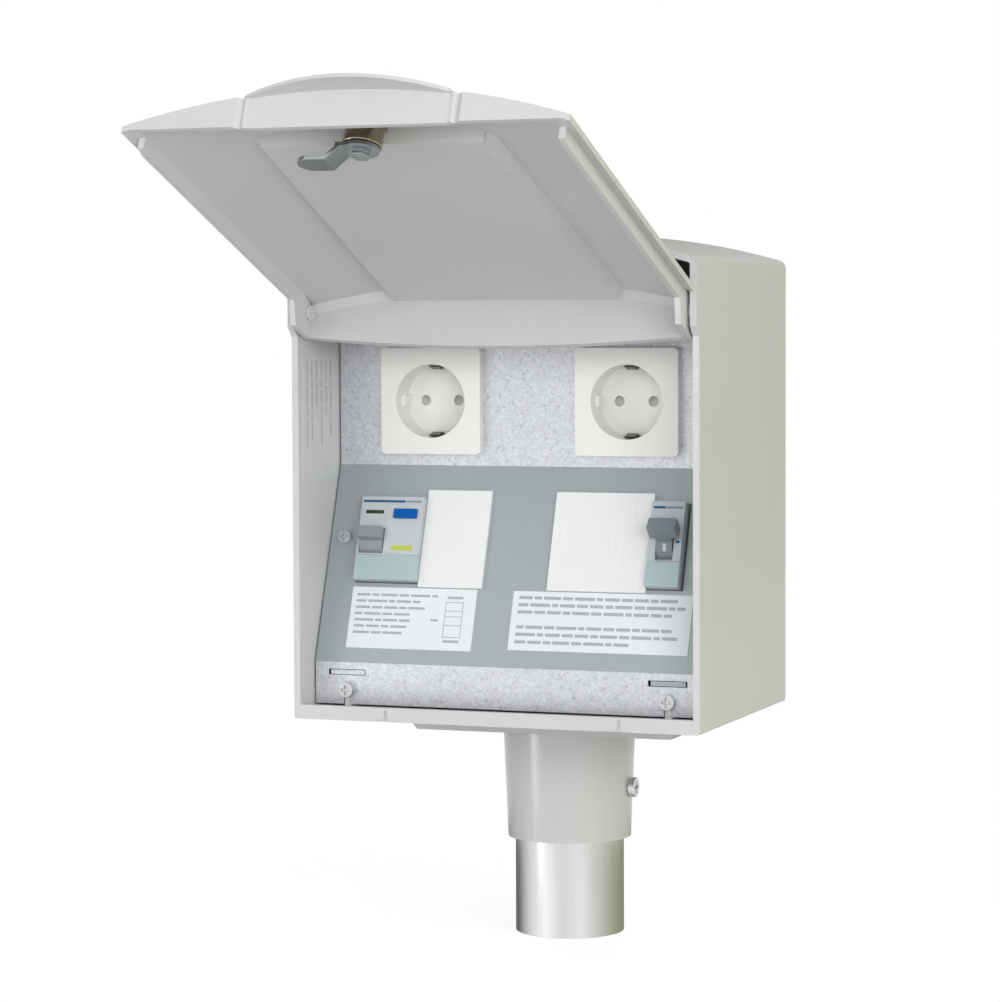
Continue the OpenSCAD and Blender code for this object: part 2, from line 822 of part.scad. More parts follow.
// Lever: a drum with a handle that leans up in the on position
module lever(x0, x1, grip0, grip1, lever_at) {
    translate([0, -lever_n, -lever_at[0]]) {
        rod_x(0, 0, 2 * lever_r, x0, x1);
        rotate([-lever_at[1], 0, 0]) {
            block([x0 + seat, -lever_at[3], -3], [x1 - seat, 0, 3]);
            block([grip0, -lever_at[3] - 2, -3.4], [grip1, -max(lever_r, lever_at[3] - 6.3), 3.4]);
        }
    }
}

// Step in a device nose for its label cover, open to the sides and below
module label_pocket(x, w) {
    block([x - 1, -nose_proud - 1, -nose_s - nose_h - 1], [x + w + 1, -nose_proud + cover_t + seat, -field_s]);
}

// Clear cover over the label field of a device
module label_window(x, w) {
    block([x, -nose_proud, -nose_s - nose_h], [x + w, -nose_proud + cover_t, -field_s - seat]);
}

// Residual-current device, two modules wide
module rcd_body() {
    color("whitesmoke") on_slope() difference() {
        device_body(rcd_x, rcd_w);
        lever_slot(rcd_x + lever_side, rcd_x + module_w - 2 * lever_side, rcd_lever_at);
        button_pocket(0.3);
        label_pocket(rcd_x, rcd_w);
        wire_hole(rcd_x + module_w / 2, terminal_n, false);
        wire_hole(rcd_x + 1.5 * module_w, terminal_n, false);
        wire_hole(rcd_x + module_w / 2, terminal_n, true);
        wire_hole(rcd_x + 1.5 * module_w, terminal_n - 14, true);
    }
}

module button_pocket(gap) {
    block([button_x - button[0] / 2 - gap, -nose_proud - 1, -button_s - button[1] / 2 - gap],
          [button_x + button[0] / 2 + gap, -nose_proud + 5, -button_s + button[1] / 2 + gap]);
}

module rcd_lever() {
    color("dimgray") on_slope() let (x0 = rcd_x + lever_side, x1 = rcd_x + module_w - 2 * lever_side)
        lever(x0, x1, x0 + seat / 2, x1 - seat / 2, rcd_lever_at);
}

// Test button, sliding into the nose
module rcd_button() {
    low = -nose_proud + 5 - button_travel - 0.3;
    color("royalblue") on_slope()
        block([button_x - button[0] / 2, -nose_proud - 2, -button_s - button[1] / 2],
              [button_x + button[0] / 2, low, -button_s + button[1] / 2]);
}

module rcd_label_window() {
    color("paleturquoise") on_slope() label_window(rcd_x, rcd_w);
}

// Circuit breaker, one module wide
module mcb_body() {
    color("whitesmoke") on_slope() difference() {
        device_body(mcb_x, module_w);
        lever_slot(mcb_x + 4.7, mcb_x + module_w - 4.7, mcb_lever_at);
        label_pocket(mcb_x, module_w);
        for (top = [false, true])
            wire_hole(mcb_x + module_w / 2, terminal_n, top);
    }
}

module mcb_lever() {
    color("slategray") on_slope()
        lever(mcb_x + 4.7, mcb_x + module_w - 4.7, mcb_x + 2, mcb_x + module_w - 0.8, mcb_lever_at);
}

module mcb_label_window() {
    color("paleturquoise") on_slope() label_window(mcb_x, module_w);
}

// Blanking strip over the free part of a window, with grooves and clip tongues
module blanking_strip(x0, x1, window) {
    count = floor((x1 - x0) / 4.5);
    difference() {
        block([x0, -2.2, -strip_s[1]], [x1, 0, -strip_s[0]]);
        for (i = [1 : count - 1])
            block([x0 + i * (x1 - x0) / count - 0.2, -3, -strip_s[1] + 3],
                  [x0 + i * (x1 - x0) / count + 0.2, -2.05, -strip_s[0] - 3]);
    }
    for (z = [-window_s - 2.4, -window_s - window_h + 0.4])
        block([max(x0, window[0]) + 1, -1, z], [min(x1, window[1]) - 1, sheet + 2, z + 2]);
}

module blanking_strip_left() {
    color("white") on_slope() blanking_strip(rcd_x + rcd_w + strip_gap, window_l[1] + 1.2, window_l);
}

module blanking_strip_right() {
    color("white") on_slope() blanking_strip(window_r[0] - 1.2, mcb_x - strip_gap, window_r);
}

// Bare white labels on the slope and on the left wall
module label_left() {
    color("white") on_slope() block([rcd_x - 1.4, -0.3, -102], [-20, 0, -strip_s[1] - 0.3]);
}

module label_right() {
    color("white") on_slope() block([0.6, -0.3, -100.5], [chassis_w - 8.5, 0, -strip_s[1] - 0.3]);
}

module label_side() {
    color("white") in_box() block([-in_w, 5.5, hood_z - 76.4], [-in_w + 0.3, fold[0] - 2, hood_z - 10.4]);
}

// Terminal block on the back wall, with a pocket for each conductor
module terminal_block() {
    color("darkseagreen") in_box() difference() {
        block([-30, block_y, 30], [30, box_d - wall, 58]);
        for (i = [-2 : 2]) {
            translate([i * 11, tap_y, 48]) cylinder(d = 4.6, h = 11);
            rod_y(i * 11, 44, 4.2, block_y - 1, block_y + 6);
        }
    }
}

module terminal_screws() {
    color("silver") in_box()
        for (i = [-2 : 2])
            difference() {
                rod_y(i * 11, 44, 4.1, block_y + 0.5, block_y + 6);
                block([i * 11 - 2.5, block_y - 1, 43.6], [i * 11 + 2.5, block_y + 1.3, 44.4]);
            }
}

// Brown wires: supply to the wide device, on to the narrow one, and from there to both sockets
module live_wires() {
    rcd_a = rcd_x + module_w / 2;
    mcb_a = mcb_x + module_w / 2;
    low = -nose_mid - body_h / 2;
    high = -nose_mid + body_h / 2;
    right = socket_right_x - pin_gap / 2;
    left = socket_left_x - pin_gap / 2;
    color("saddlebrown") in_box() {
        wire([
            [-22, tap_y, 49], [-22, tap_y, 76], [rcd_a, 128, 76], [rcd_a, 100, 20],
            slope_point(rcd_a, terminal_n, low - 21), slope_point(rcd_a, terminal_n, low + 6)
        ], wire_d);
        wire([
            slope_point(rcd_a, terminal_n, high - 6), slope_point(rcd_a, terminal_n, high + 7),
            slope_point(mcb_a, terminal_n, high + 7), slope_point(mcb_a, terminal_n, high - 6)
        ], wire_d);
        wire([
            slope_point(mcb_a, terminal_n, low + 6), slope_point(mcb_a, terminal_n, low - 21),
            [mcb_a, 100, 20], [mcb_a, 112, 60], [mcb_a, 112, socket_z + 14],
            [right, 112, socket_z + 14], [right, 112, socket_z], [right, socket_back, socket_z]
        ], wire_d);
        wire([
            [right, 112, socket_z + 14], [left, 112, socket_z + 14], [left, 112, socket_z],
            [left, socket_back, socket_z]
        ], wire_d);
    }
}

// Blue wires: supply to the wide device, and from there to both sockets
module neutral_wires() {
    rcd_a = rcd_x + 1.5 * module_w;
    low = -nose_mid - body_h / 2;
    high = -nose_mid + body_h / 2;
    right = socket_right_x + pin_gap / 2;
    left = socket_left_x + pin_gap / 2;
    color("royalblue") in_box() {
        wire([
            [-11, tap_y, 49], [-11, tap_y, 66], [rcd_a, 128, 66], [rcd_a, 100, 20],
            slope_point(rcd_a, terminal_n, low - 21), slope_point(rcd_a, terminal_n, low + 6)
        ], wire_d);
        wire([
            slope_point(rcd_a, terminal_n - 14, high - 6), slope_point(rcd_a, terminal_n - 14, high + 8),
            [rcd_a, 104, socket_z - 30], [left, 104, socket_z - 13], [left, 104, socket_z],
            [left, socket_back, socket_z]
        ], wire_d);
        wire([
            [left, 104, socket_z - 13], [right, 104, socket_z - 13], [right, 104, socket_z],
            [right, socket_back, socket_z]
        ], wire_d);
    }
}

// Green and yellow wires: supply to the earth contacts of both sockets
module earth_wires() {
    color("yellowgreen") in_box() {
        wire([
            [22, tap_y, 49], [22, tap_y, 120], [socket_right_x, 130, socket_z],
            [socket_right_x, socket_back, socket_z]
        ], wire_d);
        wire([
            [11, tap_y, 49], [11, tap_y, 126], [socket_left_x, 130, socket_z],
            [socket_left_x, socket_back, socket_z]
        ], wire_d);
    }
}

// Rubber ring in the cable entry of the floor
module cable_grommet() {
    color("dimgray") in_box() translate([0, post_y, 0])
        rotate_extrude() polygon([
            [entry_d / 2 - 4, 0.2], [entry_d / 2 - seat, 0.2], [entry_d / 2 - seat, wall],
            [entry_d / 2 + 2.5, wall], [entry_d / 2 + 2.5, wall + 2], [entry_d / 2 - 4, wall + 2]
        ]);
}

// Flange under the floor that carries the box
module mount_flange() {
    color("silver") in_box() translate([0, post_y, 0]) difference() {
        translate([0, flange_y, 0]) along_y(-flange_d / 2, flange_d / 2) polygon([
            [-flange_w / 2, 0], [flange_w / 2, 0], [flange_w / 2, -8], [flange_w / 2 - 4, -flange_h],
            [-flange_w / 2 + 4, -flange_h], [-flange_w / 2, -8]
        ]);
        translate([0, 0, -flange_h - 1]) cylinder(d = entry_d, h = flange_h + 2);
        for (side = [-1, 1], back = [-1, 1])
            translate([side * flange_screw[0], flange_y + back * flange_screw[1], -flange_h - 1]) {
                cylinder(d = flange_screw_d + 2 * loose, h = flange_h + 2);
                cylinder(d = 11, h = flange_h - 5);
            }
    }
}

// Tapered collar under the flange, round the post
module post_collar() {
    color("silver") in_box() translate([0, post_y, 0]) difference() {
        translate([0, 0, -flange_h - collar_h])
            cylinder(d1 = collar_low_d, d2 = collar_top_d, h = collar_h);
        translate([0, 0, -flange_h - collar_h - 1]) cylinder(d = post_d + 2 * run, h = collar_h + 2);
        rod_x(0, clamp_z, clamp_d, 0, collar_top_d);
    }
}

module flange_screws() {
    color("silver") in_box() translate([0, post_y + flange_y, 0])
        for (side = [-1, 1], back = [-1, 1])
            translate([side * flange_screw[0], back * flange_screw[1], 0]) {
                translate([0, 0, -9.8]) cylinder(d = 9, h = 3.8);
                translate([0, 0, -6.5]) cylinder(d = flange_screw_d, h = wall + 6.5 + 6);
            }
}

module flange_nuts() {
    color("silver") in_box() translate([0, post_y + flange_y, wall])
        for (side = [-1, 1], back = [-1, 1])
            translate([side * flange_screw[0], back * flange_screw[1], 0])
                difference() {
                    cylinder(d = 9.2, h = 4, $fn = 6);
                    translate([0, 0, -1]) cylinder(d = flange_screw_d, h = 6);
                }
}

// Clamp screw through the right side of the collar
module clamp_screw() {
    color("silver") in_box() translate([0, post_y, 0]) difference() {
        union() {
            rod_x(0, clamp_z, clamp_d, post_d / 2 + 0.1, clamp_seat);
            rod_x(0, clamp_z, 10.8, clamp_seat, clamp_seat + 3.6);
        }
        for (turn = [0, 90])
            translate([clamp_seat + 3.6, 0, clamp_z])
                rotate([turn, 0, 0])
                    cube([3, 6.4, 1.4], center = true);
    }
}

// Stub of the round post, open at its lower end
module post_tube() {
    color("silver") difference() {
        cylinder(d = post_d, h = stub_len + collar_h - 0.3);
        translate([0, 0, -1]) cylinder(d = post_d - 2 * post_wall, h = stub_len + collar_h + 2);
    }
}

housing_left();
housing_right();
housing_roof();
housing_floor();
housing_back();
lid();
hinge_pins();
lock_barrel();
lock_nut();
lock_plug();
lock_cam();
cam_screw();
chassis_panel();
chassis_slope();
chassis_lip();
lip_screws();
top_screws();
socket_left();
socket_right();
socket_base_left();
socket_base_right();
earth_clips();
contact_sleeves();
socket_screws();
din_rail();
rail_standoffs();
rail_screws();
rail_back_screws();
rcd_body();
rcd_lever();
rcd_button();
rcd_label_window();
mcb_body();
mcb_lever();
mcb_label_window();
blanking_strip_left();
blanking_strip_right();
label_left();
label_right();
label_side();
terminal_block();
terminal_screws();
live_wires();
neutral_wires();
earth_wires();
cable_grommet();
mount_flange();
post_collar();
flange_screws();
flange_nuts();
clamp_screw();
post_tube();
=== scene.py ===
"""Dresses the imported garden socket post: materials, small trim, floor, studio light and camera."""
import math

import bmesh
import bpy
from mathutils import Matrix, Vector


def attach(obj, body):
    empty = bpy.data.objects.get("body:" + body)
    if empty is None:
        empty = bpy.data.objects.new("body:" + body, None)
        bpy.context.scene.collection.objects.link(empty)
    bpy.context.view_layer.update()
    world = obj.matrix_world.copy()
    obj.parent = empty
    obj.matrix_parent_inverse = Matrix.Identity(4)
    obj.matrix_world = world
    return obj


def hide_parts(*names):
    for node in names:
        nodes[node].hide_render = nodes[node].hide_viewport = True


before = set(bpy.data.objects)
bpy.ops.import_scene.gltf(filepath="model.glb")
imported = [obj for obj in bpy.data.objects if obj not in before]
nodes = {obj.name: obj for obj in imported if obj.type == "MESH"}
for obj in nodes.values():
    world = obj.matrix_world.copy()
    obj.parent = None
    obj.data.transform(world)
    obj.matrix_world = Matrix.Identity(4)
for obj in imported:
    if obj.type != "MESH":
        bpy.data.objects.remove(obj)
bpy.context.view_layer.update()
scene = bpy.context.scene

# Places that the part's source sets, in mm
MM = 0.001
POST_Y, BASE_Z = 120.0, 127.0
FOLD_Y, FOLD_Z = 54.0, 133.0
LIP_Y, LIP_Z = 18.0, 29.0
SLOPE = math.atan((FOLD_Y - LIP_Y) / (FOLD_Z - LIP_Z))
NOSE = 6.0
LABEL_TOP = 0.3
WALL_X = -109.0
LEVER_N, LEVER_R = -1.0, 8.5
MCB_LEVER_S = 42.6


def box_point(x, y, z):
    """A point of the box frame, in mm, as a point of the shared frame, in metres."""
    return Vector((x, y - POST_Y, z + BASE_Z)) * MM


def slope_point(x, s, n):
    """A point on the sloped panel: across it, down it from the upper fold, and off its face."""
    c, k = math.cos(SLOPE), math.sin(SLOPE)
    return box_point(x, FOLD_Y - n * c - s * k, FOLD_Z + n * k - s * c)


# Materials, with pattern sizes as noise scales per metre and relief depths in metres
CLOUDS, SMUDGES, SKIN = 14, 60, 900
SPANGLE, SPECKS, DIP_RELIEF = 850, 240, 500
STREAKS = 700
TINTS, SCUFFS, RIPPLES = 40, 120, 300
SKIN_DEPTH, DIP_DEPTH, METAL_DEPTH = 0.00006, 0.00005, 0.00004
MOTTLE = 0.02
SPECK_SHARE = 0.62


def new_material(name):
    m = bpy.data.materials.new(name)
    m.use_nodes = True
    tree = m.node_tree
    return m, tree, tree.nodes["Principled BSDF"]


def coords(tree, scale=(1, 1, 1)):
    tex = tree.nodes.new("ShaderNodeTexCoord")
    mapping = tree.nodes.new("ShaderNodeMapping")
    mapping.inputs["Scale"].default_value = scale
    tree.links.new(tex.outputs["Object"], mapping.inputs["Vector"])
    return mapping.outputs["Vector"]


def ramp(tree, fac, stops):
    node = tree.nodes.new("ShaderNodeValToRGB")
    el = node.color_ramp.elements
    while len(el) < len(stops):
        el.new(0.5)
    for e, (pos, col) in zip(el, stops):
        e.position = pos
        e.color = (*col, 1)
    tree.links.new(fac, node.inputs["Fac"])
    return node.outputs["Color"]


def spread(tree, fac, low, high):
    node = tree.nodes.new("ShaderNodeMapRange")
    node.inputs["To Min"].default_value = low
    node.inputs["To Max"].default_value = high
    tree.links.new(fac, node.inputs["Value"])
    return node.outputs["Result"]


def noise(tree, vec, scale, detail=4.0, rough=0.55):
    node = tree.nodes.new("ShaderNodeTexNoise")
    node.inputs["Scale"].default_value = scale
    node.inputs["Detail"].default_value = detail
    node.inputs["Roughness"].default_value = rough
    tree.links.new(vec, node.inputs["Vector"])
    return node.outputs["Fac"]


def bump(tree, shader, height, strength, distance):
    node = tree.nodes.new("ShaderNodeBump")
    node.inputs["Strength"].default_value = strength
    node.inputs["Distance"].default_value = distance
    tree.links.new(height, node.inputs["Height"])
    tree.links.new(node.outputs["Normal"], shader.inputs["Normal"])


def shade(col, k):
    return tuple(min(1.0, c * k) for c in col)


def moulded(name, col, rough=(0.38, 0.5), grain=SKIN, strength=0.25, gloss=0.5):
    """Moulded plastic: faint mottling, uneven gloss and a fine skin texture."""
    m, tree, shader = new_material(name)
    shader.inputs["Specular IOR Level"].default_value = gloss
    vec = coords(tree)
    stops = [(0.3, shade(col, 1 - MOTTLE)), (0.7, shade(col, 1 + MOTTLE))]
    tree.links.new(ramp(tree, noise(tree, vec, CLOUDS, 5), stops), shader.inputs["Base Color"])
    smudges = noise(tree, vec, SMUDGES, 6)
    tree.links.new(spread(tree, smudges, *rough), shader.inputs["Roughness"])
    bump(tree, shader, noise(tree, vec, grain, 3), strength, SKIN_DEPTH)
    return m


def galvanised(name, col, vary, rough=(0.34, 0.52), grey=0.75):
    """Hot-dip sheet: fine spangle with dark specks, in colour, gloss and relief."""
    m, tree, shader = new_material(name)
    vec = coords(tree)
    cells = tree.nodes.new("ShaderNodeTexVoronoi")
    cells.inputs["Scale"].default_value = SPANGLE
    tree.links.new(vec, cells.inputs["Vector"])
    split = tree.nodes.new("ShaderNodeSeparateColor")
    tree.links.new(cells.outputs["Color"], split.inputs["Color"])
    mixer = tree.nodes.new("ShaderNodeMix")
    mixer.inputs["Factor"].default_value = SPECK_SHARE
    tree.links.new(split.outputs["Red"], mixer.inputs["A"])
    tree.links.new(noise(tree, vec, SPECKS, 6, 0.7), mixer.inputs["B"])
    stops = [(0.2, shade(col, 1 - 2.4 * vary)), (0.34, shade(col, 1 - 0.5 * vary)),
             (0.55, col), (0.8, shade(col, 1 + vary))]
    tree.links.new(ramp(tree, mixer.outputs["Result"], stops), shader.inputs["Base Color"])
    shader.inputs["Metallic"].default_value = grey
    tree.links.new(spread(tree, split.outputs["Green"], *rough), shader.inputs["Roughness"])
    bump(tree, shader, noise(tree, vec, DIP_RELIEF, 5), 0.2, DIP_DEPTH)
    return m


def metal(name, col, rough=(0.2, 0.34), stretch=(1, 1, 1), strength=0.12, streaks=(0.93, 1.05)):
    """Drawn, cast or plated metal with streaks along the short scale axis."""
    m, tree, shader = new_material(name)
    streak = noise(tree, coords(tree, stretch), STREAKS, 6)
    stops = [(0.25, shade(col, streaks[0])), (0.75, shade(col, streaks[1]))]
    tree.links.new(ramp(tree, streak, stops), shader.inputs["Base Color"])
    shader.inputs["Metallic"].default_value = 1.0
    tree.links.new(spread(tree, streak, *rough), shader.inputs["Roughness"])
    bump(tree, shader, streak, strength, METAL_DEPTH)
    return m


def clear_plastic(name, col):
    """Clear moulded cover with a faint tint and soft scuffs."""
    m, tree, shader = new_material(name)
    vec = coords(tree)
    stops = [(0.3, shade(col, 0.97)), (0.7, col)]
    tree.links.new(ramp(tree, noise(tree, vec, TINTS), stops), shader.inputs["Base Color"])
    tree.links.new(spread(tree, noise(tree, vec, SCUFFS), 0.06, 0.16), shader.inputs["Roughness"])
    bump(tree, shader, noise(tree, vec, RIPPLES, 3), 0.05, METAL_DEPTH)
    shader.inputs["Transmission Weight"].default_value = 0.7
    shader.inputs["IOR"].default_value = 1.45
    return m


mats = {
    "shell": moulded("shell_grey", (0.615, 0.615, 0.612)),
    "collar": moulded("collar_grey", (0.58, 0.58, 0.578), (0.2, 0.28), gloss=0.9),
    "panel": galvanised("galvanised_panel", (0.675, 0.69, 0.722), 0.17),
    # Painted shade: the slope is the panel's galvanised sheet, given a darker, bluer base for its
    # shade and for the grey lid it reflects
    "slope": galvanised("galvanised_slope_shaded", (0.4, 0.44, 0.455), 0.02, (0.45, 0.55), grey=0.5),
    "socket": moulded("socket_white", (0.82, 0.82, 0.795), (0.2, 0.3), 300, 0.04),
    # Painted shade: the shutters are a grey darker than the socket white, so the pin holes look dim
    "shutter": moulded("shutter_grey_painted_shade", (0.5, 0.5, 0.47), (0.3, 0.4), 300, 0.06),
    "base": moulded("base_ivory", (0.68, 0.63, 0.52)),
    "device": moulded("device_grey", (0.49, 0.53, 0.55), (0.35, 0.45)),
    "face": moulded("device_face", (0.53, 0.56, 0.58), (0.3, 0.4), 400, 0.08),
    "lever": moulded("lever_grey", (0.22, 0.25, 0.275), (0.3, 0.42), gloss=0.3),
    "toggle": moulded("toggle_grey", (0.28, 0.31, 0.32), (0.3, 0.42)),
    "button": moulded("button_blue", (0.003, 0.1, 0.4), (0.3, 0.4), 400, gloss=0.12),
    "strip": moulded("strip_white", (0.81, 0.82, 0.82), (0.3, 0.4), 400, 0.08),
    "label": moulded("label_white", (0.77, 0.805, 0.835), (0.35, 0.45), 1200, 0.06),
    "sticker": moulded("sticker_grey", (0.63, 0.635, 0.64), (0.3, 0.4), 1200, 0.06),
    "rule": moulded("rule_grey", (0.42, 0.435, 0.45), (0.45, 0.55), 1200, gloss=0.2),
    "stripe": moulded("stripe_blue", (0.02, 0.115, 0.24), (0.35, 0.45), 600, gloss=0.15),
    "teal": moulded("stripe_teal", (0.19, 0.3, 0.36), (0.35, 0.45), 600, gloss=0.2),
    "olive": moulded("indicator_olive", (0.035, 0.042, 0.012), (0.3, 0.4), 600, gloss=0.15),
    "yellow": moulded("mark_yellow", (0.5, 0.56, 0.09), (0.35, 0.45), 600, gloss=0.2),
    "steel": metal("screw_zinc", (0.66, 0.67, 0.68)),
    "brass": metal("lock_brass", (0.4, 0.36, 0.25), (0.08, 0.16), strength=0.04),
    "cam": metal("cam_zinc", (0.42, 0.445, 0.455), (0.12, 0.22), strength=0.05),
    # Painted shade: the earth clips' metal is near black with a warm tint, standing in for the shade
    # in the recess around them
    "contact": metal("clip_metal_painted_shade", (0.11, 0.105, 0.085), (0.25, 0.4)),
    "sleeve": metal("sleeve_tin", (0.34, 0.34, 0.32), (0.3, 0.45)),
    "post": metal("post_metal", (0.66, 0.66, 0.65), (0.19, 0.22), (1, 1, 0.02), 0.02,
                  (0.965, 1.025)),
    "green": moulded("terminal_green", (0.17, 0.26, 0.17)),
    "brown": moulded("wire_brown", (0.09, 0.03, 0.012)),
    "blue": moulded("wire_blue", (0.01, 0.05, 0.3)),
    "earth": moulded("wire_earth", (0.17, 0.34, 0.02)),
    "rubber": moulded("grommet_rubber", (0.012, 0.012, 0.012), (0.55, 0.7)),
    "window": clear_plastic("window_clear", (0.8, 0.93, 0.93)),
}

USED = {
    "shell": "lid hinge_pins",
    "collar": "post_collar mount_flange",
    "panel": "chassis_panel chassis_lip din_rail rail_standoffs",
    "slope": "chassis_slope",
    "socket": "socket_left socket_right",
    "base": "socket_base_left socket_base_right",
    "device": "rcd_body mcb_body",
    "lever": "mcb_lever",
    "toggle": "rcd_lever",
    "button": "rcd_button",
    "strip": "blanking_strip_left blanking_strip_right",
    "label": "label_left label_right",
    "sticker": "label_side",
    "steel": "lip_screws top_screws socket_screws rail_screws rail_back_screws "
             "terminal_screws flange_screws flange_nuts clamp_screw",
    "brass": "lock_barrel lock_nut lock_plug",
    "cam": "lock_cam cam_screw",
    "contact": "earth_clips",
    "sleeve": "contact_sleeves",
    "post": "post_tube",
    "green": "terminal_block",
    "brown": "live_wires",
    "blue": "neutral_wires",
    "earth": "earth_wires",
    "rubber": "cable_grommet",
    "window": "rcd_label_window mcb_label_window",
}
for key, names in USED.items():
    for n in names.split():
        mesh = nodes[n].data
        mesh.materials.clear()
        mesh.materials.append(mats[key])

# Soft edges on the nodes that show: weld distance in metres, bevel widths in mm
WELD = 0.000002
FLAT = math.radians(0.2)
SHARP = math.radians(28)
BEVEL_SEGMENTS = 2
NORMAL_WEIGHT = 50
SOFT = {
    0.5: "lid mount_flange post_collar socket_left socket_right lock_barrel",
    0.4: "rcd_lever mcb_lever rcd_button lock_cam lock_nut",
    0.25: "rcd_label_window mcb_label_window blanking_strip_left blanking_strip_right cam_screw "
          "lip_screws rail_screws clamp_screw post_tube chassis_panel chassis_slope chassis_lip",
}
DEVICE_SOFT = 0.3
HOUSING_SOFT = 0.7


def fresh_surface():
    """Node group that joins an imported node's split vertices and shades the whole smooth."""
    group = bpy.data.node_groups.new("fresh_surface", "GeometryNodeTree")
    for way in ("INPUT", "OUTPUT"):
        group.interface.new_socket("Geometry", in_out=way, socket_type="NodeSocketGeometry")
    entry = group.nodes.new("NodeGroupInput")
    out = group.nodes.new("NodeGroupOutput")
    weld = group.nodes.new("GeometryNodeMergeByDistance")
    weld.inputs["Distance"].default_value = WELD
    normal = group.nodes.new("GeometryNodeSetMeshNormal")
    normal.mode = "SHARPNESS"
    normal.inputs["Remove Custom"].default_value = True
    normal.inputs["Edge Sharpness"].default_value = False
    normal.inputs["Face Sharpness"].default_value = False
    group.links.new(entry.outputs[0], weld.inputs["Geometry"])
    group.links.new(weld.outputs[0], normal.inputs["Mesh"])
    group.links.new(normal.outputs[0], out.inputs[0])
    return group


FRESH = fresh_surface()


def round_off(obj, width):
    edge = obj.modifiers.new("edge", "BEVEL")
    edge.width = width * MM
    edge.segments = BEVEL_SEGMENTS
    edge.limit_method = "ANGLE"
    edge.angle_limit = SHARP
    even = obj.modifiers.new("even", "WEIGHTED_NORMAL")
    even.mode = "FACE_AREA"
    even.weight = NORMAL_WEIGHT


def soften(obj, width, clear=True):
    """Joins an imported node's surface, clears its flats if asked and rounds its sharp edges."""
    obj.modifiers.new("fresh", "NODES").node_group = FRESH
    if clear:
        flat = obj.modifiers.new("flat", "DECIMATE")
        flat.decimate_type = "DISSOLVE"
        flat.angle_limit = FLAT
    round_off(obj, width)


for width, names in SOFT.items():
    for n in names.split():
        soften(nodes[n], width)
for n in ("rcd_body", "mcb_body"):
    soften(nodes[n], DEVICE_SOFT, clear=False)


# The housing as the one moulding that it is
HOUSING = ["housing_left", "housing_right", "housing_roof", "housing_floor", "housing_back"]


def mesh_of(name):
    """A copy of a node's mesh with its split vertices joined."""
    bm = bmesh.new()
    bm.from_mesh(nodes[name].data)
    bmesh.ops.remove_doubles(bm, verts=bm.verts, dist=WELD)
    mesh = bpy.data.meshes.new(name + "_copy")
    bm.to_mesh(mesh)
    bm.free()
    return mesh


def add_object(name, mesh):
    obj = bpy.data.objects.new(name, mesh)
    scene.collection.objects.link(obj)
    return obj


def one_moulding(name, parts, mat, body, width):
    """Unites nodes that meet face to face, so that no seam shows where the real piece has none."""
    whole = add_object(name, mesh_of(parts[0]))
    others = [add_object(p + "_part", mesh_of(p)) for p in parts[1:]]
    for other in others:
        join = whole.modifiers.new("join", "BOOLEAN")
        join.operation = "UNION"
        join.solver = "EXACT"
        join.object = other
    graph = bpy.context.evaluated_depsgraph_get()
    united = bpy.data.meshes.new_from_object(whole.evaluated_get(graph))
    whole.modifiers.clear()
    for other in others:
        bpy.data.objects.remove(other)
    bm = bmesh.new()
    bm.from_mesh(united)
    bmesh.ops.remove_doubles(bm, verts=bm.verts, dist=WELD)
    bmesh.ops.dissolve_limit(bm, angle_limit=FLAT, verts=bm.verts, edges=bm.edges)
    for face in bm.faces:
        face.smooth = True
    bm.to_mesh(united)
    bm.free()
    united.materials.clear()
    united.materials.append(mat)
    whole.data = united
    round_off(whole, width)
    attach(whole, body)
    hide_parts(*parts)
    return whole


housing = one_moulding("housing_shell", HOUSING, mats["shell"], "base", HOUSING_SOFT)


# Printed fields, marks and rules, in mm: spans are both sides across and both ends down the slope
FIELD, PRINT, INK, LENS = 0.1, 0.06, 0.04, 0.15
DRAW_IN = 0.01
DEVICE_MARKS = (
    ("rcd_face_field", (-74.2, -55.0, 24.4, 50.6), NOSE, FIELD, "face"),
    ("rcd_stripe", (-89.2, -65.0, 21.6, 22.9), NOSE, PRINT, "stripe"),
    ("rcd_stripe_end", (-64.8, -55.6, 21.7, 22.7), NOSE, PRINT, "teal"),
    ("rcd_indicator", (-87.0, -76.6, 27.3, 29.2), NOSE, LENS, "olive"),
    ("rcd_mark", (-69.8, -58.0, 46.7, 49.4), NOSE + FIELD, PRINT, "yellow"),
    ("mcb_stripe", (75.0, 81.4, 22.3, 23.6), NOSE, PRINT, "stripe"),
    ("mcb_dot", (88.8, 90.9, 40.7, 42.1), NOSE, PRINT, "stripe"),
    ("mcb_stripe_end", (81.6, 91.2, 22.3, 23.6), NOSE, PRINT, "teal"),
)


def plate_into(bm, corners, thick, inset=0.0):
    """A thin plate on four corners in order round its face, its upper edge drawn in by a share."""
    low = [bm.verts.new(c) for c in corners]
    up = (corners[1] - corners[0]).cross(corners[3] - corners[0]).normalized() * thick * MM
    mid = sum(corners, Vector()) / 4
    high = [bm.verts.new(c + (mid - c) * inset + up) for c in corners]
    bm.faces.new(high)
    bm.faces.new(low[::-1])
    for i in range(4):
        k = (i + 1) % 4
        bm.faces.new((low[i], low[k], high[k], high[i]))


def mesh_from(name, bm, mat):
    mesh = bpy.data.meshes.new(name)
    bm.to_mesh(mesh)
    bm.free()
    mesh.materials.append(mat)
    return mesh


def finish_piece(name, bm, mat, body):
    bmesh.ops.recalc_face_normals(bm, faces=bm.faces)
    obj = add_object(name, mesh_from(name, bm, mats[mat]))
    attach(obj, body)


def slope_plates(name, spans, n, thick, mat):
    """Plates on the slope, one for each span, at a height off its face."""
    bm = bmesh.new()
    for x0, x1, s0, s1 in spans:
        around = ((x0, s1), (x1, s1), (x1, s0), (x0, s0))
        plate_into(bm, [slope_point(x, s, n) for x, s in around], thick, DRAW_IN)
    finish_piece(name, bm, mat, "base")


for name, span, n, thick, mat in DEVICE_MARKS:
    slope_plates(name, [span], n, thick, mat)

